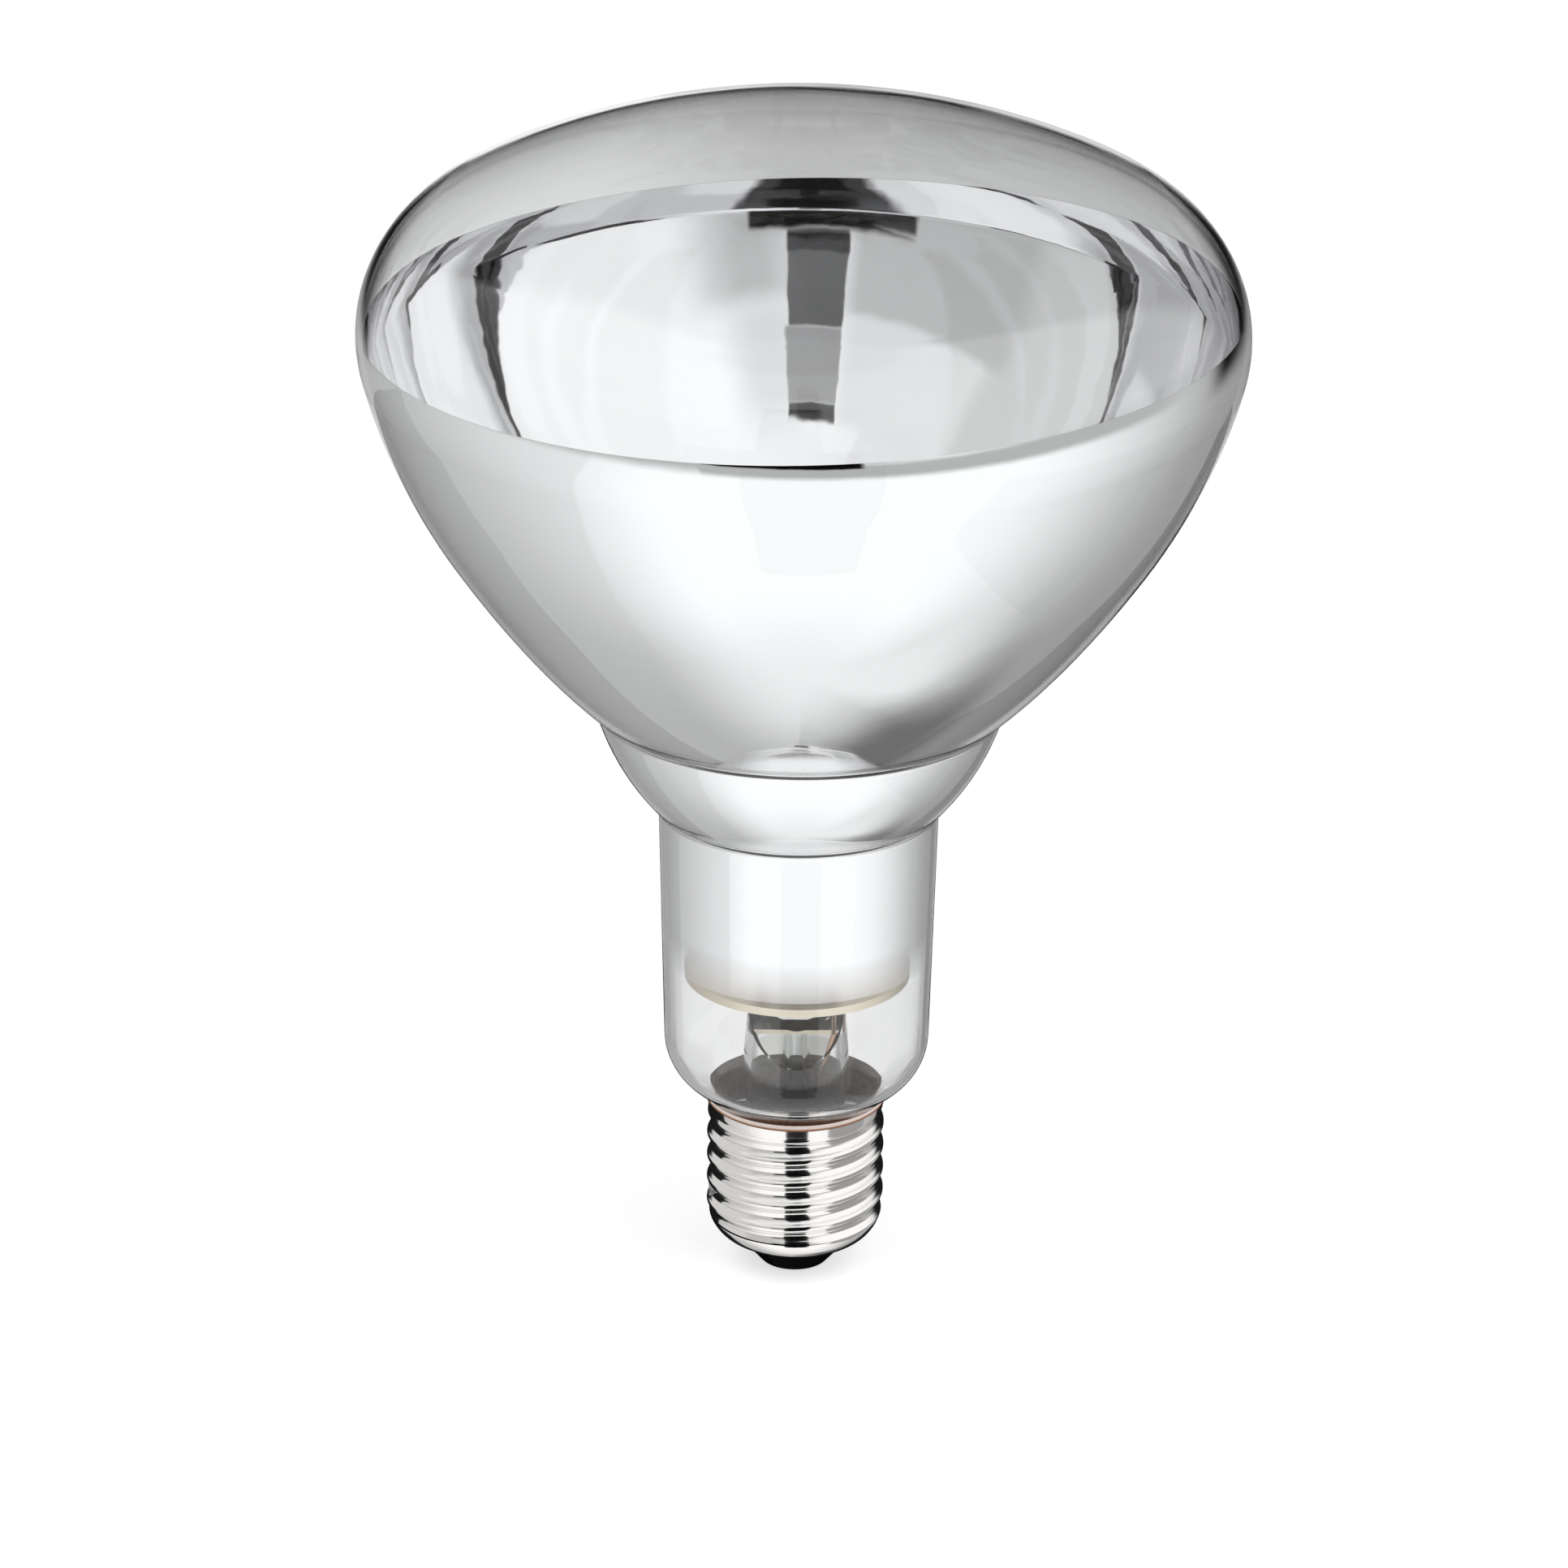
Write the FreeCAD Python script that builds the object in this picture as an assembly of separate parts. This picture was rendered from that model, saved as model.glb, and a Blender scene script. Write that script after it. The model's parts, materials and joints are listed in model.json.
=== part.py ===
"""Infrared heat lamp bulb with a clear dome face, a mirrored bowl and a screw cap.

All sizes are in millimetres. The lamp stands on its cap: +Z runs from the centre contact to
the face, and the origin is on the axis at the bottom of the contact. Each physical piece is
one solid in one file.
"""
import FreeCAD
import Part
import math
import os

Vec = FreeCAD.Vector
AXIS = Vec(0, 0, 1)
ORIGIN = Vec(0, 0, 0)

# Glass envelope: dome face, bowl, stepped bulge, neck and shoulder
bulb_radius = 63.5
widest_height = 146.7
dome_radius = 114.5
knuckle_radius = 20.0
knuckle_overrun = 15.0
glass_wall = 1.0
focal_length = 16.9
focus_height = 93.9
reflector_top_radius = 51.0
bowl_foot_radius = 30.5
bulge_top_lean = 16.0
bulge_foot_lean = 43.5
crease_length = 1.2
neck_top_radius = 20.35
neck_lean = 1.5
neck_foot_height = 37.1
shoulder_radius = 8.9
shoulder_lean = 54.0
spigot_lean = 18.0
spigot_radius = 11.2
seal_height = 17.5

# Mirror coating on the inside of the glass
coating_thickness = 0.1
coating_rise = 2.6
coating_tilt = 1.5
coating_back_tilt = 1.2
coating_foot_height = 50.4

# Screw cap of 27 mm nominal thread: its wall stands plain at the thread's crest
cap_height = 27.0
thread_crest_radius = 13.05
thread_top_height = 23.6
shell_sheet = 0.3
rim_radius = 13.4
foot_round = 4.4
lip_height = 4.6

# Cement, insulator, contact and solder
cement_depth = 6.0
cement_bead = 0.35
insulator_foot_radius = 4.9
insulator_edge_round = 0.5
insulator_top_height = 8.2
contact_radius = 4.2
contact_thickness = 0.25
contact_hole_radius = 1.3
side_solder_radius = 1.3

# Stem, exhaust tube and glass rod
stem_radius = 7.7
stem_wall = 1.0
flare_radius = 7.0
press_width = 13.6
press_thickness = 4.6
press_foot_height = 37.9
press_slope = 3.4
press_height = 7.7
exhaust_radius = 1.95
exhaust_bore_radius = 1.1
exhaust_tip_height = 13.0
rod_radius = 1.5
button_radius = 2.7
button_height = 82.0

# Heat deflector disc
deflector_radius = 16.5
deflector_thickness = 0.4
deflector_gap = 2.4
deflector_edge = 0.8
hole_clearance = 0.15

# Lead wires, filament and its supports
lead_spacing = 11.0
lead_waist = 7.6
inner_lead_radius = 0.5
outer_lead_radius = 0.35
joint_depth = 3.6
waist_drop = 6.9
lead_bend = 2.0
lead_turn_height = 84.0
filament_ring_radius = 11.0
filament_coil_radius = 0.8
filament_gap_angle = 60.0
support_count = 5
support_radius = 0.2
support_loop_clearance = 0.1
support_loop_width = 0.6
support_root_depth = 1.4

press_slope_height = press_foot_height - press_slope
press_top_height = press_foot_height + press_height
joint_height = press_foot_height + joint_depth
waist_height = press_foot_height - waist_drop
deflector_height = press_top_height + deflector_gap


def rad(angle):
    """Degrees to radians."""
    return math.radians(angle)


def heading(lean):
    """The way down the outline where it leans inward from the vertical by this many degrees."""
    return Vec(-math.sin(rad(lean)), 0, -math.cos(rad(lean)))


def outward(lean):
    """The way out of the glass, square to the outline, where it leans by this many degrees."""
    return Vec(math.cos(rad(lean)), 0, -math.sin(rad(lean)))


class Station:
    """One place on the outside of the glass, with the outline's lean there."""

    def __init__(self, radius, height, lean):
        self.place = Vec(radius, 0, height)
        self.lean = lean

    def inset(self, depth):
        """The same place this deep into the glass."""
        return self.place - outward(self.lean) * depth


def on_round(centre, radius, lean):
    """A station on a round stretch that bulges outward."""
    place = centre + outward(lean) * radius
    return Station(place.x, place.z, lean)


def round_span(centre, radius, lean_from, lean_to):
    """Three stations that carry an outward bulging arc."""
    middle = (lean_from + lean_to) / 2
    return [on_round(centre, radius, lean) for lean in (lean_from, middle, lean_to)]


def round_edge(stations, depth):
    """The arc through three stations, this deep into the glass."""
    return Part.Arc(*[station.inset(depth) for station in stations]).toShape()


def bend_edge(first, last, depth):
    """A parabolic bend between two stations, tangent to the outline at both."""
    start = first.inset(depth)
    end = last.inset(depth)
    way_in = heading(first.lean)
    way_out = heading(last.lean)
    chord = end - start
    turn = way_in.cross(way_out)
    reach = chord.cross(way_out).dot(turn) / turn.dot(turn)
    bend = Part.BezierCurve()
    bend.setPoles([start, start + way_in * reach, end])
    return bend.toShape()


def straight_edge(first, last, depth):
    """A straight stretch between two stations."""
    return Part.LineSegment(first.inset(depth), last.inset(depth)).toShape()


def reflector_station(radius):
    """A place on the paraboloid whose focus is the filament's centre."""
    height = focus_height - focal_length + radius ** 2 / (4 * focal_length)
    lean = math.degrees(math.atan(2 * focal_length / radius))
    return Station(radius, height, lean)


dome_offset = math.sqrt((dome_radius - knuckle_radius) ** 2 - (bulb_radius - knuckle_radius) ** 2)
dome_centre = Vec(0, 0, widest_height - dome_offset)
knuckle_centre = Vec(bulb_radius - knuckle_radius, 0, widest_height)
dome_lean = -math.degrees(math.acos((bulb_radius - knuckle_radius) / (dome_radius - knuckle_radius)))
bulb_height = dome_centre.z + dome_radius

dome = round_span(dome_centre, dome_radius, -90.0, dome_lean)
knuckle = round_span(knuckle_centre, knuckle_radius, dome_lean, knuckle_overrun)
reflector_top = reflector_station(reflector_top_radius)
reflector_foot = reflector_station(bowl_foot_radius)

bulge_top_slope = math.tan(rad(reflector_foot.lean)) + math.tan(rad(bulge_top_lean))
bulge_top = Station(bowl_foot_radius - crease_length / 2 * bulge_top_slope,
                    reflector_foot.place.z - crease_length, bulge_top_lean)
bulge_foot_slope = math.tan(rad(bulge_foot_lean)) + math.tan(rad(neck_lean))
bulge_foot_radius = neck_top_radius + crease_length / 2 * bulge_foot_slope
bulge_radius = ((bulge_top.place.x - bulge_foot_radius)
                / (math.cos(rad(bulge_top_lean)) - math.cos(rad(bulge_foot_lean))))
bulge = round_span(bulge_top.inset(bulge_radius), bulge_radius, bulge_top_lean, bulge_foot_lean)

neck_top = Station(neck_top_radius, bulge[-1].place.z - crease_length, neck_lean)
neck_foot_radius = neck_top_radius - math.tan(rad(neck_lean)) * (neck_top.place.z - neck_foot_height)
neck_foot = Station(neck_foot_radius, neck_foot_height, neck_lean)
shoulder_centre = neck_foot.inset(shoulder_radius)
shoulder = round_span(shoulder_centre, shoulder_radius, neck_lean, shoulder_lean)
spigot_top = Station(rim_radius - shell_sheet - cement_bead, cap_height, spigot_lean)
spigot_drop = (spigot_top.place.x - spigot_radius) / math.tan(rad(spigot_lean))
spigot_foot = Station(spigot_radius, cap_height - spigot_drop, spigot_lean)
spigot_turn = Station(spigot_radius, spigot_foot.place.z - glass_wall, 0.0)
seal_edge = Station(spigot_radius, seal_height, 0.0)


def glass_edges(depth):
    """The whole outline from the dome's middle down to the seal, this deep into the glass."""
    return [
        round_edge(dome, depth),
        round_edge(knuckle, depth),
        bend_edge(knuckle[-1], reflector_top, depth),
        bend_edge(reflector_top, reflector_foot, depth),
        bend_edge(reflector_foot, bulge[0], depth),
        round_edge(bulge, depth),
        bend_edge(bulge[-1], neck_top, depth),
        straight_edge(neck_top, neck_foot, depth),
        round_edge(shoulder, depth),
        bend_edge(shoulder[-1], spigot_top, depth),
        straight_edge(spigot_top, spigot_foot, depth),
        bend_edge(spigot_foot, spigot_turn, depth),
        straight_edge(spigot_turn, seal_edge, depth),
    ]


def end_points(edges):
    """The first and last point of a chain of edges."""
    return edges[0].valueAt(edges[0].FirstParameter), edges[-1].valueAt(edges[-1].LastParameter)


def turned(face):
    """A face in the XZ plane turned all round the axis."""
    return face.revolve(ORIGIN, AXIS, 360)


def closed_face(edges):
    """A face inside a closed chain of edges."""
    return Part.Face(Part.Wire(Part.__sortEdges__(edges)))


def turned_outline(corners):
    """A solid turned from straight sided corners, each a radius and a height."""
    points = [Vec(radius, 0, height) for radius, height in corners]
    return turned(Part.Face(Part.makePolygon(points + points[:1])))


def shell_between(outer_depth, inner_depth):
    """A turned skin between two depths in the glass."""
    outer = glass_edges(outer_depth)
    inner = glass_edges(inner_depth)
    outer_top, outer_foot = end_points(outer)
    inner_top, inner_foot = end_points(inner)
    ends = [Part.makeLine(outer_top, inner_top), Part.makeLine(outer_foot, inner_foot)]
    return turned(closed_face(outer + inner + ends))


def glass_envelope():
    """The blown bulb, open only at the seal inside the cap."""
    return shell_between(0, glass_wall)


def mirror_coating():
    """The aluminium film inside the bowl and upper neck, its top edge tilted to one side and back."""
    film = shell_between(glass_wall, glass_wall + coating_thickness)
    room = Part.makeCylinder(bulb_radius * 2, bulb_height * 2, Vec(0, 0, -bulb_height * 2))
    room.rotate(ORIGIN, Vec(0, 1, 0), -coating_tilt)
    room.rotate(ORIGIN, Vec(1, 0, 0), -coating_back_tilt)
    room.translate(Vec(0, 0, widest_height + coating_rise))
    foot = Part.makeCylinder(bulb_radius * 2, bulb_height, Vec(0, 0, coating_foot_height))
    return film.common(room).common(foot)


def shell_side(depth):
    """The screw shell's outline at this depth under its outside: collar, wall and rounded foot."""
    rim = Vec(rim_radius - depth, 0, cap_height)
    wall_top = Vec(thread_crest_radius - depth, 0, thread_top_height)
    wall_foot = Vec(wall_top.x, 0, lip_height + foot_round)
    centre = Vec(thread_crest_radius - foot_round, 0, wall_foot.z)
    middle, lip = [centre + Vec(math.cos(rad(angle)), 0, -math.sin(rad(angle))) * (foot_round - depth)
                   for angle in (45, 90)]
    return [Part.makeLine(rim, wall_top), Part.makeLine(wall_top, wall_foot),
            Part.Arc(wall_foot, middle, lip).toShape()]


def screw_shell():
    """The sheet metal shell: flared collar, wall and foot turned in under the insulator."""
    outer = shell_side(0)
    inner = shell_side(shell_sheet)
    outer_rim, outer_lip = end_points(outer)
    inner_rim, inner_lip = end_points(inner)
    ends = [Part.makeLine(outer_rim, inner_rim), Part.makeLine(outer_lip, inner_lip)]
    return turned(closed_face(outer + inner + ends))


def shell_room(low, high):
    """The room inside the screw shell between two heights."""
    side = shell_side(shell_sheet)
    rim, lip = end_points(side)
    top = Vec(0, 0, rim.z)
    foot = Vec(0, 0, lip.z)
    room = turned(closed_face(side + [Part.makeLine(rim, top), Part.makeLine(top, foot),
                                      Part.makeLine(foot, lip)]))
    return room.common(Part.makeCylinder(rim_radius, high - low, Vec(0, 0, low)))


def basing_cement():
    """The ring of baked cement between the glass spigot and the shell's rim."""
    ring = shell_room(cap_height - cement_depth, cap_height)
    ring = ring.fuse(Part.makeCylinder(rim_radius - shell_sheet, cement_bead, Vec(0, 0, cap_height)))
    outline = glass_edges(0)
    start, end = end_points(outline)
    seal_middle = Vec(0, 0, seal_height)
    core = turned(closed_face(outline + [Part.makeLine(start, seal_middle), Part.makeLine(seal_middle, end)]))
    return ring.removeSplitter().cut(core)


def cap_insulator():
    """The black glass foot that closes the shell and carries the centre contact."""
    lip_radius = thread_crest_radius - foot_round
    lip_top = lip_height + shell_sheet
    foot = turned_outline([(0, contact_thickness), (insulator_foot_radius, contact_thickness),
                           (lip_radius, lip_height), (lip_radius, lip_top), (0, lip_top)])
    body = foot.fuse(shell_room(lip_top, insulator_top_height)).removeSplitter()
    foot_edges = [edge for edge in body.Edges
                  if abs(edge.BoundBox.ZMax - contact_thickness) < insulator_edge_round / 10
                  and edge.BoundBox.XMax > contact_radius]
    body = body.makeFillet(insulator_edge_round, foot_edges)
    return body.cut(Part.makeCylinder(outer_lead_radius, insulator_top_height))


def centre_contact():
    """The flat contact washer under the insulator."""
    disc = Part.makeCylinder(contact_radius, contact_thickness)
    return disc.cut(Part.makeCylinder(contact_hole_radius, contact_thickness))


def centre_solder():
    """The solder that fills the contact's hole round the end of the lead."""
    plug = Part.makeCylinder(contact_hole_radius, contact_thickness)
    return plug.cut(Part.makeCylinder(outer_lead_radius, contact_thickness / 2, Vec(0, 0, contact_thickness / 2)))


def stem_core(depth):
    """The stem turned solid at this depth under its outside: flange, flare, tube and blunt top."""
    spread = math.acos(1 - (spigot_radius - glass_wall - stem_radius) / flare_radius)
    flare_centre = Vec(stem_radius + flare_radius, 0, seal_height + flare_radius * math.sin(spread))
    reach = flare_radius + depth
    flare = [flare_centre - Vec(math.cos(angle), 0, math.sin(angle)) * reach
             for angle in (spread, spread / 2, 0)]
    foot = seal_height - stem_wall - depth
    narrow = Vec(stem_radius - depth, 0, press_slope_height)
    top = Vec(press_width / 2 - depth, 0, press_top_height)
    edges = [Part.makeLine(Vec(0, 0, foot), Vec(flare[0].x, 0, foot)),
             Part.makeLine(Vec(flare[0].x, 0, foot), flare[0]),
             Part.Arc(*flare).toShape(), Part.makeLine(flare[2], narrow), Part.makeLine(narrow, top),
             Part.makeLine(top, Vec(0, 0, top.z)), Part.makeLine(Vec(0, 0, top.z), Vec(0, 0, foot))]
    return turned(closed_face(edges))


def pinch(half_thickness, slope_foot, slope_top):
    """The room left between the jaws that flatten the press."""
    wide = stem_radius * 2
    corners = [(-wide, 0), (wide, 0), (wide, slope_foot), (stem_radius, slope_foot),
               (half_thickness, slope_top), (half_thickness, bulb_height), (-half_thickness, bulb_height),
               (-half_thickness, slope_top), (-stem_radius, slope_foot), (-wide, slope_foot)]
    points = [Vec(-wide, across, height) for across, height in corners]
    return Part.Face(Part.makePolygon(points + points[:1])).extrude(Vec(wide * 2, 0, 0))


def glass_stem():
    """The glass tube that is sealed to the neck and pressed flat round the leads."""
    jaw_top = press_foot_height + press_thickness / 2
    body = stem_core(0).common(pinch(press_thickness / 2, press_slope_height, jaw_top))
    body = body.fuse(Part.makeCylinder(spigot_radius, stem_wall, Vec(0, 0, seal_height - stem_wall)))
    hollow = stem_core(stem_wall).common(pinch(press_thickness / 2 - stem_wall,
                                               press_slope_height - stem_wall, jaw_top - stem_wall))
    hollow = hollow.common(Part.makeCylinder(bulb_radius, press_foot_height))
    stem = body.cut(hollow)
    for side in (-1, 1):
        stem = stem.cut(inner_lead(side)).cut(outer_lead(side))
    return stem


def exhaust_tube():
    """The tube the lamp was pumped through, open at the press and drawn shut at its tip."""
    shoulder = exhaust_tip_height + exhaust_radius * 1.5
    outer = turned_outline([(0, exhaust_tip_height), (exhaust_radius / 3, exhaust_tip_height),
                            (exhaust_radius, shoulder), (exhaust_radius, press_foot_height),
                            (0, press_foot_height)])
    bore = turned_outline([(0, shoulder), (exhaust_bore_radius, shoulder + exhaust_radius),
                           (exhaust_bore_radius, press_foot_height), (0, press_foot_height)])
    return outer.cut(bore)


def arbor_rod():
    """The glass rod with the button that holds the filament supports."""
    rod = Part.makeCylinder(rod_radius, button_height - press_top_height, Vec(0, 0, press_top_height))
    rod = rod.fuse(Part.makeSphere(button_radius, Vec(0, 0, button_height))).removeSplitter()
    for i in range(support_count):
        rod = rod.cut(filament_support(i))
    return rod


def heat_deflector():
    """The disc that keeps the heat from the neck, with a turned down edge and three holes."""
    top = deflector_height + deflector_thickness
    disc = turned_outline([
        (0, deflector_height), (deflector_radius - deflector_thickness, deflector_height),
        (deflector_radius - deflector_thickness, deflector_height - deflector_edge),
        (deflector_radius, deflector_height - deflector_edge), (deflector_radius, top), (0, top)])
    low = Vec(0, 0, deflector_height)
    disc = disc.cut(Part.makeCylinder(rod_radius + hole_clearance, deflector_thickness, low))
    for side in (-1, 1):
        hole = Part.makeCylinder(inner_lead_radius + hole_clearance, deflector_thickness,
                                 low + Vec(side * lead_spacing / 2, 0, 0))
        disc = disc.cut(hole)
    return disc


def rounded_path(points, bend):
    """A wire of straight runs joined by arcs of one bend radius."""
    edges = []
    start = points[0]
    for before, corner, after in zip(points, points[1:], points[2:]):
        way_in = (corner - before).normalize()
        way_out = (after - corner).normalize()
        turn = way_in.getAngle(way_out)
        cut = bend * math.tan(turn / 2)
        arc_start = corner - way_in * cut
        arc_end = corner + way_out * cut
        to_centre = (way_out - way_in).normalize()
        middle = corner + to_centre * (bend / math.cos(turn / 2) - bend)
        edges.append(Part.makeLine(start, arc_start))
        edges.append(Part.Arc(arc_start, middle, arc_end).toShape())
        start = arc_end
    edges.append(Part.makeLine(start, points[-1]))
    return Part.Wire(edges)


def round_wire(points, radius, bend):
    """A round wire bent along a path."""
    path = rounded_path(points, bend)
    section = Part.Wire(Part.makeCircle(radius, points[0], points[1] - points[0]))
    return path.makePipeShell([section], True, False)


def filament_end(side):
    """Where the filament's coil ends over this side's lead."""
    angle = rad(-90 + side * filament_gap_angle / 2)
    return Vec(filament_ring_radius * math.cos(angle), filament_ring_radius * math.sin(angle), focus_height)


def inner_lead(side):
    """The nickel lead from the press to the filament's end, on one side."""
    across = side * lead_spacing / 2
    end = filament_end(side)
    return round_wire([Vec(across, 0, joint_height), Vec(across, 0, lead_turn_height),
                       end], inner_lead_radius, lead_bend).cut(filament())


def outer_lead(side):
    """The copper lead from the press down into the cap: one side to the shell, one to the contact."""
    across = side * lead_spacing / 2
    waist = side * lead_waist / 2
    points = [Vec(across, 0, joint_height), Vec(across, 0, press_foot_height - lead_bend / 2),
              Vec(waist, 0, waist_height)]
    if side < 0:
        points.append(Vec(waist, 0, exhaust_tip_height + lead_bend))
        points.append(Vec(-thread_crest_radius, 0, exhaust_tip_height - lead_bend))
    else:
        points.append(Vec(waist, 0, exhaust_tip_height))
        points.append(Vec(0, 0, insulator_top_height + lead_bend / 2))
        points.append(Vec(0, 0, contact_thickness / 2))
    lead = round_wire(points, outer_lead_radius, lead_bend)
    return lead.common(shell_room(insulator_top_height, cap_height)) if side < 0 else lead


def filament():
    """The outside of the filament's coil: a round bar bent into an open ring."""
    start = filament_end(1)
    sweep = 360 - filament_gap_angle
    section = Part.Face(Part.Wire(Part.makeCircle(filament_coil_radius, start, Vec(-start.y, start.x, 0))))
    return section.revolve(ORIGIN, AXIS, sweep)


def filament_support(index):
    """One thin wire from the glass button to a loop round the filament."""
    angle = 180 * index / (support_count - 1)
    out = Vec(math.cos(rad(angle)), math.sin(rad(angle)), 0)
    along = Vec(-out.y, out.x, 0)
    centre = out * filament_ring_radius + Vec(0, 0, focus_height)
    hole_radius = filament_coil_radius + support_loop_clearance
    loop_radius = hole_radius + support_radius * 2
    low = centre - along * (support_loop_width / 2)
    loop = Part.makeCylinder(loop_radius, support_loop_width, low, along)
    button = Vec(0, 0, button_height)
    way = (centre - button).normalize()
    root = button + way * (button_radius - support_root_depth)
    reach = (centre - root).Length - loop_radius + support_radius
    wire = Part.makeCylinder(support_radius, reach, root, way).fuse(loop)
    return wire.cut(Part.makeCylinder(hole_radius, support_loop_width, low, along))


def side_solder():
    """The solder that fixes the side lead to the inside of the shell."""
    height = exhaust_tip_height - lead_bend
    bead = Part.makeSphere(side_solder_radius, Vec(shell_sheet - thread_crest_radius, 0, height))
    return bead.common(shell_room(insulator_top_height, cap_height)).cut(outer_lead(-1))


def main():
    """Build every piece and write it to its own file."""
    pieces = {
        "glass_envelope": glass_envelope(),
        "mirror_coating": mirror_coating(),
        "glass_stem": glass_stem(),
        "exhaust_tube": exhaust_tube(),
        "arbor_rod": arbor_rod(),
        "heat_deflector": heat_deflector(),
        "inner_lead_left": inner_lead(-1),
        "inner_lead_right": inner_lead(1),
        "outer_lead_left": outer_lead(-1),
        "outer_lead_right": outer_lead(1),
        "filament": filament(),
        "screw_shell": screw_shell(),
        "basing_cement": basing_cement(),
        "cap_insulator": cap_insulator(),
        "centre_contact": centre_contact(),
        "centre_solder": centre_solder(),
        "side_solder": side_solder(),
    }
    for i in range(support_count):
        pieces["filament_support_" + str(i + 1)] = filament_support(i)
    os.makedirs("parts", exist_ok=True)
    for name, shape in pieces.items():
        solid = shape.Solids[0] if len(shape.Solids) == 1 else shape
        print(name, len(shape.Solids), "solid", round(shape.Volume, 2), "valid", shape.isValid())
        solid.exportStep(os.path.join("parts", name + ".step"))


main()
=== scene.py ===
"""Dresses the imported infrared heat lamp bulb: blown glass, mirror coating, threaded cap, coiled filament.

Sizes are in metres. The lamp stands on its cap: +Z runs from the centre contact to the face, and
the camera of the photograph is on the -Y side. Pieces that need a finer surface than the frame's
are turned, wound or threaded here in the same places, and the rest get their materials.
"""
import json
import math

import bpy
from mathutils import Euler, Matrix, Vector
from mathutils.geometry import interpolate_bezier


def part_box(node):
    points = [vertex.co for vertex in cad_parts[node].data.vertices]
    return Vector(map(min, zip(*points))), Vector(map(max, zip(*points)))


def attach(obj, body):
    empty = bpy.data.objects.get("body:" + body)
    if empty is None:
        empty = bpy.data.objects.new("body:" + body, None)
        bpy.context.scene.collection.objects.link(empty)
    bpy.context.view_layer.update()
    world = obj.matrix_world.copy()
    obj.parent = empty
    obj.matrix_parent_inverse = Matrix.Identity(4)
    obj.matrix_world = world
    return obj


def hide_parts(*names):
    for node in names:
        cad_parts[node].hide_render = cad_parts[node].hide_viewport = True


bl_info = {
    "name": "Heat Lamp Bulb Dresser",
    "version": (1, 0, 0),
    "blender": (4, 5, 0),
    "location": "View3D > Sidebar > Lamp",
    "description": "Dresses a packed heat lamp bulb with glass, mirror, thread and filament",
    "category": "Object",
}

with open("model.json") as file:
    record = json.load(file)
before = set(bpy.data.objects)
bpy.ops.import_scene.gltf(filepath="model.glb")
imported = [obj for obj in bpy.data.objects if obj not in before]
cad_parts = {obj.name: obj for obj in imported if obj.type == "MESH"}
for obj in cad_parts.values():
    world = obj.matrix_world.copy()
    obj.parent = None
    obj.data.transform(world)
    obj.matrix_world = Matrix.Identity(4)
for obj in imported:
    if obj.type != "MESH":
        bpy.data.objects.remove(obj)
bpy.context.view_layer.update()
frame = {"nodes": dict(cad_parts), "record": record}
MM = 0.001
# How far towards the corner each handle of a quarter ellipse reaches
QUARTER_HANDLE = 0.5523
# Edges sharper than this stay crisp, and points nearer to each other than this become one
CRISP_ANGLE = math.radians(40)
LINE_MERGE_REACH = 1e-7
SKIN_MERGE_REACH = 1e-6


def width_radius(node):
    """Half the width of a node of the frame."""
    low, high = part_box(node)
    return (high[0] - low[0]) / 2


def top_of(node):
    """Highest point of a node of the frame."""
    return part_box(node)[1][2]


def length(name, about, value):
    """A length setting."""
    return bpy.props.FloatProperty(name=name, description=about, default=value, unit="LENGTH",
                                   subtype="DISTANCE", precision=5)


def angle(name, about, degrees):
    """An angle setting."""
    return bpy.props.FloatProperty(name=name, description=about, default=math.radians(degrees),
                                   subtype="ANGLE")


def colour(name, about, value):
    """A colour setting."""
    return bpy.props.FloatVectorProperty(name=name, description=about, default=value, size=3,
                                         min=0, max=1, subtype="COLOR")


def number(name, about, value):
    """A plain number setting."""
    return bpy.props.FloatProperty(name=name, description=about, default=value)


def count(name, about, value):
    """A whole number setting."""
    return bpy.props.IntProperty(name=name, description=about, default=value, min=1)


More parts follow.
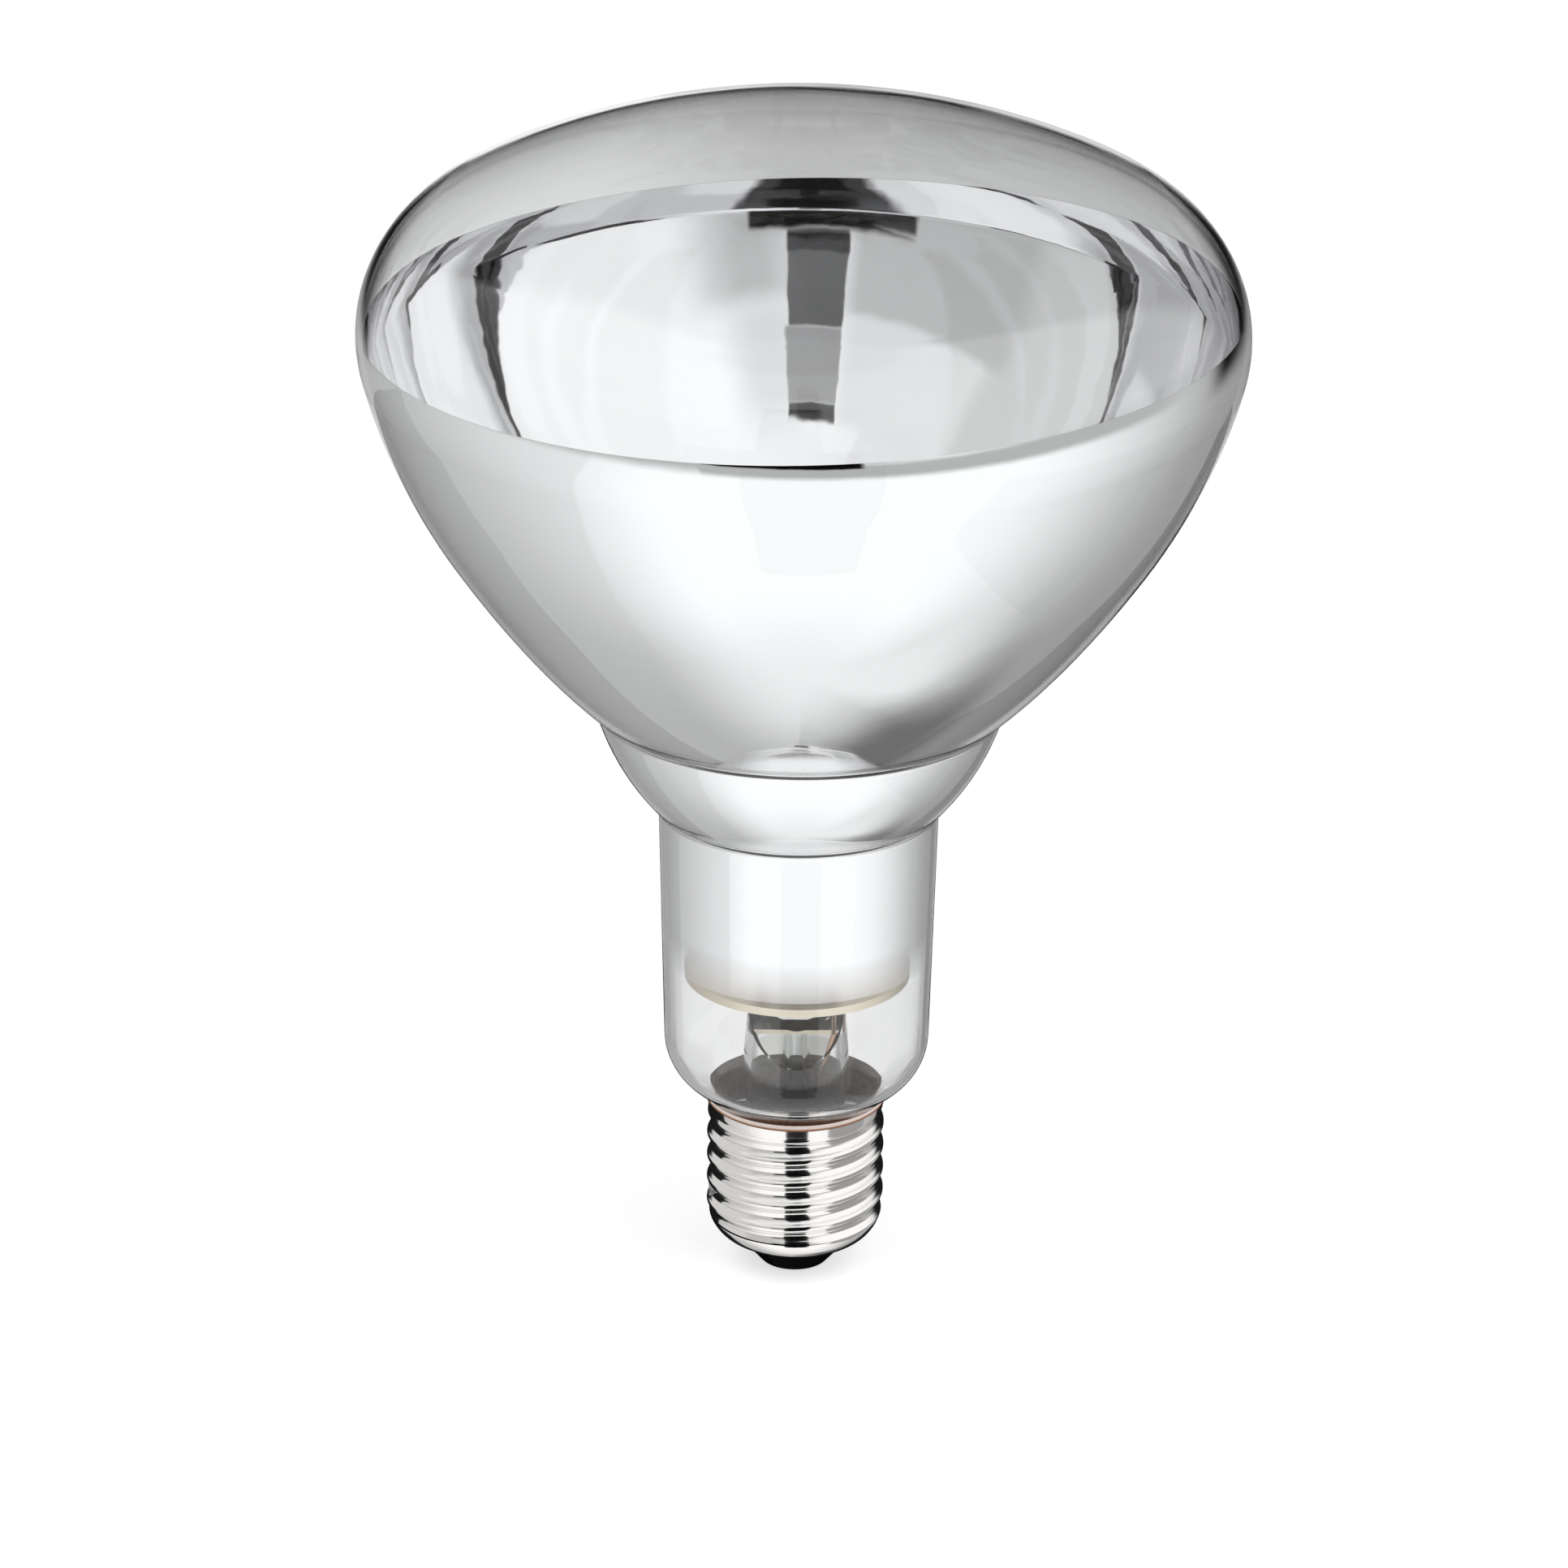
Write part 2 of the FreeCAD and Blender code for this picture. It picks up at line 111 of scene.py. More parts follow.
class BulbGlassSettings(bpy.types.PropertyGroup):
    """The blown bulb's outline."""

    dome_radius: length("Dome radius", "Radius of the face", 114.5 * MM)
    knuckle_radius: length("Knuckle radius", "Radius where the face turns into the bowl", 20 * MM)
    knuckle_overrun: angle("Knuckle overrun", "How far the knuckle runs past the widest place", 15)
    widest_height: length("Widest height", "Height of the widest place", 146.7 * MM)
    wall: length("Wall", "Thickness of the glass", 1 * MM)
    focal_length: length("Focal length", "Focal length of the bowl", 16.9 * MM)
    focus_height: length("Focus height", "Height of the bowl's focus", 93.9 * MM)
    bowl_top_radius: length("Bowl top radius", "Where the bowl's own curve begins", 51 * MM)
    bowl_foot_radius: length("Bowl foot radius", "Where the bowl ends at the upper crease", 30.5 * MM)
    bulge_top_lean: angle("Bulge top lean", "Lean of the bulge at its top", 16)
    bulge_foot_lean: angle("Bulge foot lean", "Lean of the bulge at its foot", 43.5)
    crease_length: length("Crease length", "Height of each crease", 1.2 * MM)
    neck_top_radius: length("Neck top radius", "Radius of the neck at its top", 20.35 * MM)
    neck_lean: angle("Neck lean", "Lean of the neck", 1.5)
    neck_foot_height: length("Neck foot height", "Where the neck turns into the shoulder", 37.1 * MM)
    shoulder_radius: length("Shoulder radius", "Radius of the shoulder's curve", 8.9 * MM)
    shoulder_lean: angle("Shoulder lean", "Lean of the shoulder at its foot", 54)
    spigot_lean: angle("Spigot lean", "Lean of the glass at the cap's rim", 18)
    spigot_top_radius: length("Spigot top radius", "Radius of the glass at the cap's rim", 12.75 * MM)
    spigot_radius: length("Spigot radius", "Radius of the glass inside the cap", 11.2 * MM)
    seal_height: length("Seal height", "Height of the seal inside the cap", 17.5 * MM)
    around: count("Steps round", "Steps of the turned glass", 144)
    curve_steps: count("Curve steps", "Steps of each stretch of the outline", 12)


class CoatingSettings(bpy.types.PropertyGroup):
    """The mirror coating inside the bulb."""

    gap: length("Gap", "Room between the glass and the film", 0.02 * MM)
    thickness: length("Thickness", "Thickness of the film", 0.05 * MM)
    top_height: length("Top height", "Height of the film's upper edge at the axis", 149.3 * MM)
    tilt: angle("Tilt", "Tilt of the film's upper edge to one side", 1.5)
    back_tilt: angle("Back tilt", "Tilt of the film's upper edge to the back", 1.2)
    foot_height: length("Foot height", "Height of the film's lower edge", 50.4 * MM)
    fade: length("Fade", "Height over which the film thins out at the neck", 7 * MM)
    tint: colour("Tint", "Colour of the mirror", (0.95, 0.95, 0.96))


class CementSettings(bpy.types.PropertyGroup):
    """The ring of cement between the glass and the cap."""

    bead: length("Bead", "How far the bead stands up from the cap's rim", 0.3 * MM)
    climb: count("Climb", "Tenths of the glass's last bend that stay above the cement", 6)
    gap: length("Gap", "Room between the cement and its neighbours", 0.03 * MM)
    pinch_height: length("Pinch height", "Below this the thread's roots pinch the cement", 25 * MM)
    depth: length("Depth", "Depth of the cement under the rim", 6 * MM)
    pinch_radius: length("Pinch radius", "Radius of the cement inside the thread's roots", 11.65 * MM)
    steps: count("Steps", "Steps of each side of the ring's section", 3)


class ThreadSettings(bpy.types.PropertyGroup):
    """The rolled screw shell."""

    crest_round: length("Crest round", "Radius of the thread's crests in section", 0.75 * MM)
    root_round: length("Root round", "Radius of the thread's roots in section", 1.45 * MM)
    pitch: length("Pitch", "Distance from crest to crest", 3.629 * MM)
    crest_height: length("Crest height", "Height of the lowest whole crest on the left side", 13.6 * MM)
    low: length("Low end", "Where the thread begins", 7.6 * MM)
    high: length("High end", "Where the thread ends", 26 * MM)
    fade: length("Fade", "Height over which the thread fades out", 2 * MM)
    collar_height: length("Collar height", "Where the plain collar begins", 23.6 * MM)
    rim_flare: length("Rim flare", "How far the rim stands out past the thread's crests", 0.1 * MM)
    collar_sink: length("Collar sink", "How far the collar draws in under the rim", 0.2 * MM)
    collar_drop: length("Collar drop", "How far under the rim the collar draws in most", 1.6 * MM)
    foot_rise: length("Foot rise", "Height of the turned in foot", 5.6 * MM)
    foot_reach: length("Foot reach", "How far the foot turns in", 4.4 * MM)
    sheet: length("Sheet", "Thickness of the sheet", 0.3 * MM)
    steps: count("Steps down", "Steps of each stretch of the shell's section", 36)
    around: count("Steps round", "Steps of the turned shell", 144)
    tint: colour("Tint", "Colour of the metal", (0.9, 0.885, 0.87))


class FilamentSettings(bpy.types.PropertyGroup):
    """The wound filament."""

    wire: length("Wire", "Radius of the wire", 0.11 * MM)
    pitch: length("Pitch", "Distance from turn to turn", 0.62 * MM)
    gap: angle("Gap", "Opening of the ring", 60)
    turn_points: count("Points in a turn", "Points of each turn of the coil", 10)


class StageSettings(bpy.types.PropertyGroup):
    """Camera and floor."""

    camera_place: bpy.props.FloatVectorProperty(
        name="Camera place", description="Where the camera stands", default=(0, -1.0885, 0.5528),
        subtype="TRANSLATION", unit="LENGTH")
    camera_target: bpy.props.FloatVectorProperty(
        name="Camera target", description="What the camera looks at", default=(-0.00217, 0, 0.076678),
        subtype="TRANSLATION", unit="LENGTH")
    roll: angle("Roll", "Turn of the camera about its line of sight", 0.553)
    lens: number("Lens", "Focal length in millimetres", 188.1)
    floor_white: number("Floor white", "How bright the floor glows by itself", 0.6)


def settings(name):
    """One of the lamp's groups of settings in the scene."""
    return getattr(bpy.context.scene, name)


def across(lean):
    """The way out of the glass where the outline leans inward by this angle."""
    return Vector((math.cos(lean), 0, -math.sin(lean)))


def down(lean):
    """The way down the outline where it leans inward by this angle."""
    return Vector((-math.sin(lean), 0, -math.cos(lean)))


class Station:
    """A place on the outside of the glass with the outline's lean there."""

    def __init__(self, place, lean):
        self.place = Vector(place)
        self.lean = lean

    def inset(self, depth):
        """The same place this deep into the glass."""
        return self.place - across(self.lean) * depth


def at(radius, height, lean):
    """A station at a radius and a height."""
    return Station((radius, 0, height), lean)


def arc_piece(centre, radius, lean_from, lean_to, depth):
    """A round stretch as one Bezier piece: its ends and handles."""
    reach = radius - depth
    start = centre + across(lean_from) * reach
    end = centre + across(lean_to) * reach
    handle = 4 / 3 * math.tan((lean_to - lean_from) / 4) * reach
    return start, start + down(lean_from) * handle, end - down(lean_to) * handle, end


def bend_piece(first, last, depth):
    """A bend that leaves both stations along the outline, as one Bezier piece."""
    start = first.inset(depth)
    end = last.inset(depth)
    way_in = down(first.lean)
    way_out = down(last.lean)
    chord = end - start
    turn = way_in.cross(way_out)
    corner = start + way_in * (chord.cross(way_out).dot(turn) / turn.dot(turn))
    return start, start.lerp(corner, 2 / 3), end.lerp(corner, 2 / 3), end


def line_piece(start, end):
    """A straight line as one Bezier piece."""
    return start, start.lerp(end, 1 / 3), start.lerp(end, 2 / 3), end


def straight_piece(first, last, depth):
    """A straight stretch of the outline as one Bezier piece."""
    return line_piece(first.inset(depth), last.inset(depth))


def bowl_station(glass, radius):
    """A place on the bowl's paraboloid."""
    height = glass.focus_height - glass.focal_length + radius ** 2 / (4 * glass.focal_length)
    return at(radius, height, math.atan(2 * glass.focal_length / radius))


# The film lies along this many of the outline's pieces, down to the neck's foot, and the cement
# climbs the bend above the cap's rim, which is this one of them
FILM_PIECES = 9
RIM_BEND = 10


def glass_pieces(glass, depth):
    """The bulb's outline at this depth in the glass, from the face's middle down to the seal."""
    radius = width_radius("glass_envelope")
    knuckle_reach = radius - glass.knuckle_radius
    dome_reach = glass.dome_radius - glass.knuckle_radius
    dome_centre = Vector((0, 0, glass.widest_height - math.sqrt(dome_reach ** 2 - knuckle_reach ** 2)))
    knuckle_centre = Vector((knuckle_reach, 0, glass.widest_height))
    dome_lean = -math.acos(knuckle_reach / dome_reach)
    knuckle_end = Station(knuckle_centre + across(glass.knuckle_overrun) * glass.knuckle_radius,
                          glass.knuckle_overrun)
    bowl_top = bowl_station(glass, glass.bowl_top_radius)
    bowl_foot = bowl_station(glass, glass.bowl_foot_radius)
    half_crease = glass.crease_length / 2
    bulge_top_x = bowl_foot.place.x - half_crease * (math.tan(bowl_foot.lean)
                                                     + math.tan(glass.bulge_top_lean))
    bulge_top = at(bulge_top_x, bowl_foot.place.z - glass.crease_length, glass.bulge_top_lean)
    bulge_foot_x = glass.neck_top_radius + half_crease * (math.tan(glass.bulge_foot_lean)
                                                          + math.tan(glass.neck_lean))
    bulge_radius = (bulge_top.place.x - bulge_foot_x) / (math.cos(glass.bulge_top_lean)
                                                         - math.cos(glass.bulge_foot_lean))
    bulge_centre = bulge_top.inset(bulge_radius)
    bulge_foot = Station(bulge_centre + across(glass.bulge_foot_lean) * bulge_radius, glass.bulge_foot_lean)
    neck_top = at(glass.neck_top_radius, bulge_foot.place.z - glass.crease_length, glass.neck_lean)
    neck_drop = neck_top.place.z - glass.neck_foot_height
    neck_foot = at(glass.neck_top_radius - math.tan(glass.neck_lean) * neck_drop,
                   glass.neck_foot_height, glass.neck_lean)
    shoulder_centre = neck_foot.inset(glass.shoulder_radius)
    shoulder_foot = Station(shoulder_centre + across(glass.shoulder_lean) * glass.shoulder_radius,
                            glass.shoulder_lean)
    spigot_top = at(glass.spigot_top_radius, top_of("screw_shell"), glass.spigot_lean)
    spigot_drop = (glass.spigot_top_radius - glass.spigot_radius) / math.tan(glass.spigot_lean)
    spigot_foot = at(glass.spigot_radius, spigot_top.place.z - spigot_drop, glass.spigot_lean)
    spigot_turn = at(glass.spigot_radius, spigot_foot.place.z - glass.wall, 0)
    seal = at(glass.spigot_radius, glass.seal_height, 0)
    return [
        arc_piece(dome_centre, glass.dome_radius, -math.pi / 2, dome_lean, depth),
        arc_piece(knuckle_centre, glass.knuckle_radius, dome_lean, 0, depth),
        arc_piece(knuckle_centre, glass.knuckle_radius, 0, glass.knuckle_overrun, depth),
        bend_piece(knuckle_end, bowl_top, depth),
        bend_piece(bowl_top, bowl_foot, depth),
        bend_piece(bowl_foot, bulge_top, depth),
        arc_piece(bulge_centre, bulge_radius, glass.bulge_top_lean, glass.bulge_foot_lean, depth),
        bend_piece(bulge_foot, neck_top, depth),
        straight_piece(neck_top, neck_foot, depth),
        arc_piece(shoulder_centre, glass.shoulder_radius, glass.neck_lean, glass.shoulder_lean, depth),
        bend_piece(shoulder_foot, spigot_top, depth),
        straight_piece(spigot_top, spigot_foot, depth),
        bend_piece(spigot_foot, spigot_turn, depth),
        straight_piece(spigot_turn, seal, depth),
    ]


def deselect():
    """Nothing is selected and no object is in edit mode."""
    if bpy.context.object and bpy.context.object.mode != "OBJECT":
        bpy.ops.object.mode_set(mode="OBJECT")
    bpy.ops.object.select_all(action="DESELECT")


def choose(piece):
    """Only this piece is selected, and it is the active one."""
    deselect()
    piece.select_set(True)
    bpy.context.view_layer.objects.active = piece


def outline_object(name, chains, steps):
    """A mesh line along chains of Bezier pieces; each chain is one spline."""
    deselect()
    bpy.ops.curve.primitive_bezier_curve_add(location=(0, 0, 0))
    line = bpy.context.object
    line.name = name
    line.data.resolution_u = steps
    line.data.splines.clear()
    for pieces in chains:
        spline = line.data.splines.new("BEZIER")
        spline.bezier_points.add(len(pieces))
        for point in spline.bezier_points:
            point.handle_left_type = point.handle_right_type = "FREE"
        for i, (start, handle_out, handle_in, end) in enumerate(pieces):
            first = spline.bezier_points[i]
            last = spline.bezier_points[i + 1]
            first.co = start
            first.handle_right = handle_out
            last.co = end
            last.handle_left = handle_in
            last.handle_right = end
        spline.bezier_points[0].handle_left = pieces[0][0]
    bpy.ops.object.convert(target="MESH")
    return bpy.context.object


def turn_round(piece, steps):
    """Turn a mesh line all round the axis and face the skin outwards."""
    choose(piece)
    bpy.ops.object.mode_set(mode="EDIT")
    bpy.ops.mesh.select_all(action="SELECT")
    bpy.ops.mesh.remove_doubles(threshold=LINE_MERGE_REACH)
    bpy.ops.mesh.spin(steps=steps, angle=2 * math.pi, center=(0, 0, 0), axis=(0, 0, 1))
    bpy.ops.mesh.select_all(action="SELECT")
    bpy.ops.mesh.remove_doubles(threshold=SKIN_MERGE_REACH)
    bpy.ops.mesh.normals_make_consistent(inside=False)
    bpy.ops.object.mode_set(mode="OBJECT")
    bpy.ops.object.shade_smooth()


def thicken(piece, thickness):
    """Give a skin its wall, inwards."""
    choose(piece)
    wall = piece.modifiers.new("Solidify", "SOLIDIFY")
    wall.thickness = thickness
    wall.offset = -1
    bpy.ops.object.modifier_apply(modifier=wall.name)


def keep_edges_crisp(piece):
    """Smooth shading everywhere but over the sharp edges."""
    choose(piece)
    bpy.ops.object.shade_smooth_by_angle(angle=CRISP_ANGLE)


def cut_off(piece, place, way):
    """Cut away what lies beyond a plane."""
    choose(piece)
    bpy.ops.object.mode_set(mode="EDIT")
    bpy.ops.mesh.select_all(action="SELECT")
    bpy.ops.mesh.bisect(plane_co=place, plane_no=way, clear_outer=True, use_fill=False,
                        threshold=SKIN_MERGE_REACH)
    bpy.ops.object.mode_set(mode="OBJECT")


def finish_piece(piece, node, material):
    """Give a new piece its material and let it stand for its node."""
    piece.data.materials.clear()
    piece.data.materials.append(material)
    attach(piece, "root")
    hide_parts(node)


def dress_node(node, material):
    """Give a node of the frame a better material."""
    mesh_object = frame["nodes"][node]
    for material_slot in mesh_object.material_slots:
        material_slot.material = material
    if not mesh_object.material_slots:
        mesh_object.data.materials.append(material)


def new_material(name):
    """A material with its nodes, its shader and its object coordinates."""
    material = bpy.data.materials.new(name)
    material.use_nodes = True
    shader = material.node_tree.nodes["Principled BSDF"]
    place = material.node_tree.nodes.new("ShaderNodeTexCoord")
    return material, material.node_tree, shader, place.outputs["Object"]


def add_node(tree, kind, values=None, links=None):
    """A node with values by input name and links by input name."""
    node = tree.nodes.new(kind)
    for key, value in (values or {}).items():
        if isinstance(key, int) or key in node.inputs:
            node.inputs[key].default_value = value
        else:
            setattr(node, key, value)
    for key, source in (links or {}).items():
        tree.links.new(source, node.inputs[key])
    return node


def do_sum(tree, operation, *values):
    """A Math node on numbers or sockets, giving its output."""
    node = tree.nodes.new("ShaderNodeMath")
    node.operation = operation
    for socket, value in zip(node.inputs, values):
        if isinstance(value, (int, float)):
            socket.default_value = value
        else:
            tree.links.new(value, socket)
    return node.outputs[0]


def group_socket(tree, name, way, kind, value=None):
    """A named socket of a node group."""
    socket = tree.interface.new_socket(name=name, in_out=way, socket_type=kind)
    if value is not None:
        socket.default_value = value


def build_waviness_group():
    """Slow unevenness of a blown or rolled surface, as a height."""
    tree = bpy.data.node_groups.new("surface_waviness", "ShaderNodeTree")
    group_socket(tree, "Place", "INPUT", "NodeSocketVector")
    group_socket(tree, "Size", "INPUT", "NodeSocketFloat", 40)
    group_socket(tree, "Stretch", "INPUT", "NodeSocketFloat", 1)
    group_socket(tree, "Height", "OUTPUT", "NodeSocketFloat")
    inside = tree.nodes.new("NodeGroupInput")
    outside = tree.nodes.new("NodeGroupOutput")
    stretch = add_node(tree, "ShaderNodeCombineXYZ", {"X": 1, "Y": 1}, {"Z": inside.outputs["Stretch"]})
    scaled = add_node(tree, "ShaderNodeVectorMath", {"operation": "MULTIPLY"})
    tree.links.new(inside.outputs["Place"], scaled.inputs[0])
    tree.links.new(stretch.outputs["Vector"], scaled.inputs[1])
    noise = add_node(tree, "ShaderNodeTexNoise", {"Detail": 1.5, "Roughness": 0.45},
                     {"Vector": scaled.outputs["Vector"], "Scale": inside.outputs["Size"]})
    tree.links.new(noise.outputs["Fac"], outside.inputs["Height"])


def build_specks_group():
    """Fine specks and faint streaks, as a mask from 0 to 1."""
    tree = bpy.data.node_groups.new("fine_specks", "ShaderNodeTree")
    group_socket(tree, "Place", "INPUT", "NodeSocketVector")
    group_socket(tree, "Size", "INPUT", "NodeSocketFloat", 900)
    group_socket(tree, "Amount", "INPUT", "NodeSocketFloat", 0.5)
    group_socket(tree, "Mask", "OUTPUT", "NodeSocketFloat")
    inside = tree.nodes.new("NodeGroupInput")
    outside = tree.nodes.new("NodeGroupOutput")
    noise = add_node(tree, "ShaderNodeTexNoise", {"Detail": 4, "Roughness": 0.6},
                     {"Vector": inside.outputs["Place"], "Scale": inside.outputs["Size"]})
    ramp = add_node(tree, "ShaderNodeMapRange", {"From Min": 0.45, "From Max": 0.75, "To Min": 0},
                    {"Value": noise.outputs["Fac"], "To Max": inside.outputs["Amount"]})
    tree.links.new(ramp.outputs["Result"], outside.inputs["Mask"])


def use_group(tree, name, place, **values):
    """Place a shared node group in a material."""
    node = tree.nodes.new("ShaderNodeGroup")
    node.node_tree = bpy.data.node_groups[name]
    tree.links.new(place, node.inputs["Place"])
    for key, value in values.items():
        node.inputs[key].default_value = value
    return node


def add_bump(tree, shader, height, strength, distance):
    """Feed a height to the shader's normal."""
    bump = add_node(tree, "ShaderNodeBump", {"Strength": strength, "Distance": distance}, {"Height": height})
    tree.links.new(bump.outputs["Normal"], shader.inputs["Normal"])


def set_shader(shader, **values):
    """Set plain values on the shader's sockets; underscores stand for spaces."""
    for key, value in values.items():
        shader.inputs[key.replace("_", " ")].default_value = value


def clear_glass_material(name="blown_clear_glass", tint=(0.97, 0.975, 0.975, 1), size=28, strength=0.1):
    """Clear blown glass with a slow waviness."""
    material, tree, shader, place = new_material(name)
    set_shader(shader, Base_Color=tint, Roughness=0.0, IOR=1.45, Transmission_Weight=1.0)
    waves = use_group(tree, "surface_waviness", place, Size=size, Stretch=0.5)
    add_bump(tree, shader, waves.outputs["Height"], strength, 0.6 * MM)
    return material


def mirror_film_material(coating):
    """The aluminium film: a bright mirror with slow waves, thinning out down the neck."""
    material, tree, shader, place = new_material("vapour_mirror_film")
    set_shader(shader, Base_Color=(*coating.tint, 1), Metallic=1.0, Roughness=0.03)
    waves = use_group(tree, "surface_waviness", place, Size=30, Stretch=0.4)
    ripples = use_group(tree, "surface_waviness", place, Size=230, Stretch=0.8)
    height = do_sum(tree, "MULTIPLY_ADD", ripples.outputs["Height"], 0.16, waves.outputs["Height"])
    add_bump(tree, shader, height, 0.25, 0.5 * MM)
    parts = add_node(tree, "ShaderNodeSeparateXYZ", links={"Vector": place})
    wander = use_group(tree, "surface_waviness", place, Size=90, Stretch=1)
    drift = add_node(tree, "ShaderNodeMath", {"operation": "MULTIPLY_ADD", 1: 2 * MM},
                     {0: wander.outputs["Height"], 2: parts.outputs["Z"]})
    foot = coating.foot_height
    cover = add_node(tree, "ShaderNodeMapRange",
                     {"From Min": foot + 1 * MM, "From Max": foot + coating.fade, "To Min": 0.2, "To Max": 1},
                     {"Value": drift.outputs[0]})
    tree.links.new(cover.outputs["Result"], shader.inputs["Alpha"])
    return material


def mix_colours(tree, mask, first, second):
    """A colour between two, each plain or from a socket, by a mask."""
    mixed = add_node(tree, "ShaderNodeMix", {"data_type": "RGBA"}, {0: mask})
    for index, choice in ((6, first), (7, second)):
        if isinstance(choice, tuple):
            mixed.inputs[index].default_value = (*choice, 1)
        else:
            tree.links.new(choice, mixed.inputs[index])
    return mixed.outputs[2]


def metal_material(name, tint, roughness, speck=0.1, wave=0.1, size=60):
    """Sheet or wire metal with faint specks and unevenness."""
    material, tree, shader, place = new_material(name)
    set_shader(shader, Metallic=1.0)
    specks = use_group(tree, "fine_specks", place, Size=700, Amount=speck)
    dark = tuple(channel * 0.75 for channel in tint)
    tree.links.new(mix_colours(tree, specks.outputs["Mask"], tuple(tint), dark), shader.inputs["Base Color"])
    rough = add_node(tree, "ShaderNodeMapRange", {"To Min": roughness, "To Max": roughness + 0.15},
                     {"Value": specks.outputs["Mask"]})
    tree.links.new(rough.outputs["Result"], shader.inputs["Roughness"])
    waves = use_group(tree, "surface_waviness", place, Size=size, Stretch=1)
    add_bump(tree, shader, waves.outputs["Height"], wave, 0.2 * MM)
    return material


def cement_material():
    """Baked cement: pale pinkish grains, with a dark brown ring where it comes out at the cap's rim."""
    material, tree, shader, place = new_material("baked_cement")
    specks = use_group(tree, "fine_specks", place, Size=1500, Amount=1.0)
    # Grainy deep down, plain and pale near the rim, with a brown ring just over the rim's outer edge
    deep = mix_colours(tree, specks.outputs["Mask"], (0.86, 0.68, 0.62), (0.5, 0.33, 0.28))
    parts = add_node(tree, "ShaderNodeSeparateXYZ", links={"Vector": place})
    rim = top_of("screw_shell")
    near = add_node(tree, "ShaderNodeMapRange", {"From Min": rim - 2 * MM, "From Max": rim - 0.5 * MM},
                    {"Value": parts.outputs["Z"]})
    pale = mix_colours(tree, near.outputs["Result"], deep, (0.72, 0.62, 0.57))
    flat = add_node(tree, "ShaderNodeVectorMath", {"operation": "MULTIPLY", 1: (1, 1, 0)}, {0: place})
    radius = add_node(tree, "ShaderNodeVectorMath", {"operation": "LENGTH"}, {0: flat.outputs["Vector"]})
    edge = thread_crest_radius()
    outer = add_node(tree, "ShaderNodeMapRange", {"From Min": edge - 0.25 * MM, "From Max": edge - 0.1 * MM},
                     {"Value": radius.outputs["Value"]})
    lower = add_node(tree, "ShaderNodeMapRange", {"From Min": rim + 0.45 * MM, "From Max": rim + 0.2 * MM},
                     {"Value": parts.outputs["Z"]})
    # The mask of the dark brown ring at the rim's outer edge, just over the rim
    rim_ring = do_sum(tree, "MULTIPLY", outer.outputs["Result"], lower.outputs["Result"])
    baked = mix_colours(tree, rim_ring, pale, (0.3, 0.14, 0.07))
    tree.links.new(baked, shader.inputs["Base Color"])
    set_shader(shader, Roughness=0.8)
    add_bump(tree, shader, specks.outputs["Mask"], 0.4, 0.1 * MM)
    return material


def black_glass_material():
    """Moulded black glass with a slight orange peel."""
    material, tree, shader, place = new_material("moulded_black_glass")
    specks = use_group(tree, "fine_specks", place, Size=400, Amount=0.3)
    set_shader(shader, Base_Color=(0.002, 0.002, 0.002, 1), IOR=1.3, Specular_IOR_Level=0.004)
    rough = add_node(tree, "ShaderNodeMapRange", {"To Min": 0.12, "To Max": 0.3},
                     {"Value": specks.outputs["Mask"]})
    tree.links.new(rough.outputs["Result"], shader.inputs["Roughness"])
    add_bump(tree, shader, specks.outputs["Mask"], 0.15, 0.05 * MM)
    return material


class LAMP_OT_blow_envelope(bpy.types.Operator):
    """Turn the blown glass bulb from its outline"""

    bl_idname = "lamp.blow_envelope"
    bl_label = "Blow Envelope"

    def execute(self, context):
        glass = settings("bulb_glass")
        outer = glass_pieces(glass, 0)
        inner = [tuple(reversed(piece)) for piece in reversed(glass_pieces(glass, glass.wall))]
        foot = (outer[-1][3], outer[-1][3], inner[0][0], inner[0][0])
        bulb = outline_object("blown_bulb", [outer + [foot] + inner], glass.curve_steps)
        turn_round(bulb, glass.around)
        finish_piece(bulb, "glass_envelope", clear_glass_material())
        return {"FINISHED"}


class LAMP_OT_coat_mirror(bpy.types.Operator):
    """Lay the mirror film inside the bowl, with its tilted edge"""

    bl_idname = "lamp.coat_mirror"
    bl_label = "Coat Mirror"

    def execute(self, context):
        glass = settings("bulb_glass")
        coating = settings("coating")
        pieces = glass_pieces(glass, glass.wall + coating.gap)[:FILM_PIECES]
        film = outline_object("mirror_film", [pieces], glass.curve_steps)
        turn_round(film, glass.around)
        tilt = Euler((-coating.back_tilt, -coating.tilt, 0))
        up = Vector((0, 0, 1))
        up.rotate(tilt)
        cut_off(film, (0, 0, coating.top_height), up)
        cut_off(film, (0, 0, coating.foot_height), (0, 0, -1))
        thicken(film, coating.thickness)
        keep_edges_crisp(film)
        finish_piece(film, "mirror_coating", mirror_film_material(coating))
        return {"FINISHED"}


# The shell's plain wall is turned in this many stretches
WALL_STRETCHES = 4


